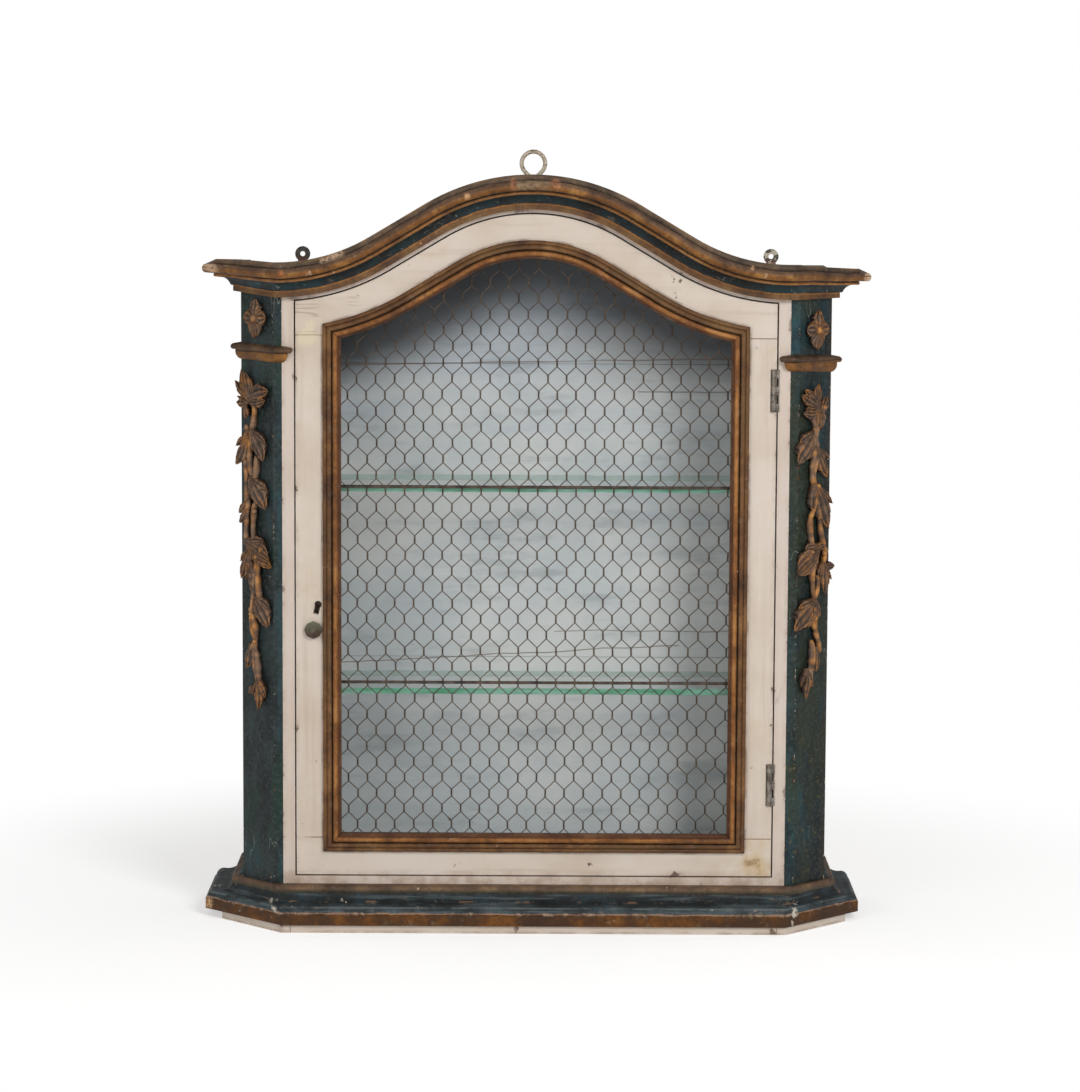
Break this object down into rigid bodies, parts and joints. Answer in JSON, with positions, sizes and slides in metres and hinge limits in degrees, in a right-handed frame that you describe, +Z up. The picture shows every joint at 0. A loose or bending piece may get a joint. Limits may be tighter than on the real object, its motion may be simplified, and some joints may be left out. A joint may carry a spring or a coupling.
{
  "type": "wall display cabinet",
  "caption": "Wall display case with an arched cornice, canted corners, carved trim, glass shelves and a hinged door filled with wire netting.",
  "frame": {"origin": "middle of the carcass in plan, at the flat underside of the base board", "axes": "+X to the viewer's right, +Y back to the wall, +Z up; the door faces -Y"},
  "size_m": [0.672, 0.198, 0.7808],
  "materials": {
    "base_board_paint": "worn cream paint",
    "base_moulding_paint": "worn brown paint and gilding",
    "floor_paint": "flat blue-grey paint",
    "side_paint": "worn dark green paint",
    "corner_paint": "worn dark green paint",
    "frame_paint": "worn cream paint",
    "back_paint": "flat blue-grey paint",
    "roof_wood": "bare aged wood",
    "cornice_paint": "worn brown paint and gilding",
    "capital_gilt": "worn gilding",
    "carving_gilt": "worn gilding",
    "door_paint": "worn cream paint",
    "door_moulding_gilt": "worn gilding",
    "netting_wire": "dull wire",
    "rod_iron": "dull iron",
    "shelf_glass": "clear with green edges",
    "bearer_wood": "flat blue-grey paint",
    "hinge_steel": "tarnished",
    "screw_steel": "tarnished",
    "lock_iron": "dark iron",
    "knob_paint": "worn paint",
    "loop_paint": "rusted cream paint",
    "plate_steel": "dull"
  },
  "bodies": {
    "case": {"base_board": "base_board_paint", "base_moulding_front": "base_moulding_paint", "base_moulding_corner_left": "base_moulding_paint", "base_moulding_corner_right": "base_moulding_paint", "base_moulding_side_left": "base_moulding_paint", "base_moulding_side_right": "base_moulding_paint", "floor_board": "floor_paint", "side_board_left": "side_paint", "side_board_right": "side_paint", "corner_post_left": "corner_paint", "corner_post_right": "corner_paint", "frame_stile_left": "frame_paint", "frame_stile_right": "frame_paint", "frame_rail_top": "frame_paint", "frame_rail_bottom": "frame_paint", "back_plank_bottom": "back_paint", "back_plank_middle": "back_paint", "back_plank_top": "back_paint", "roof_board": "roof_wood", "cornice_front": "cornice_paint", "cornice_corner_left": "cornice_paint", "cornice_corner_right": "cornice_paint", "cornice_side_left": "cornice_paint", "cornice_side_right": "cornice_paint", "capital_left": "capital_gilt", "capital_right": "capital_gilt", "rosette_left": "carving_gilt", "rosette_right": "carving_gilt", "garland_left": "carving_gilt", "garland_right": "carving_gilt", "shelf_upper": "shelf_glass", "shelf_lower": "shelf_glass", "shelf_bearers_upper": "bearer_wood", "shelf_bearers_lower": "bearer_wood", "hinge_upper_frame_leaf": "hinge_steel", "hinge_upper_pin": "hinge_steel", "hinge_lower_frame_leaf": "hinge_steel", "hinge_lower_pin": "hinge_steel", "hinge_screws_frame": "screw_steel", "hanger_screws": "screw_steel", "hanging_loop": "loop_paint", "hanging_plates": "plate_steel"},
    "door": {"door_stile_lock": "door_paint", "door_stile_hinge": "door_paint", "door_rail_top": "door_paint", "door_rail_bottom": "door_paint", "door_moulding_top": "door_moulding_gilt", "door_moulding_bottom": "door_moulding_gilt", "door_moulding_left": "door_moulding_gilt", "door_moulding_right": "door_moulding_gilt", "netting": "netting_wire", "stay_rod_upper": "rod_iron", "stay_rod_lower": "rod_iron", "rod_staples": "rod_iron", "hinge_upper_door_leaf": "hinge_steel", "hinge_lower_door_leaf": "hinge_steel", "hinge_screws_door": "screw_steel", "lock_case": "lock_iron", "knob": "knob_paint"},
    "lock_bolt": {"lock_bolt": "lock_iron"}
  },
  "joints": [
    {"name": "door_hinge", "type": "hinge", "parent": "case", "child": "door", "pos_m": [0.2366, -0.0788, 0.3455], "axis": [0, 0, 1], "range_deg": [0, 105]},
    {"name": "lock_bolt_slide", "type": "slide", "parent": "door", "child": "lock_bolt", "axis": [-1, 0, 0], "range_m": [0, 0.008]}
  ]
}
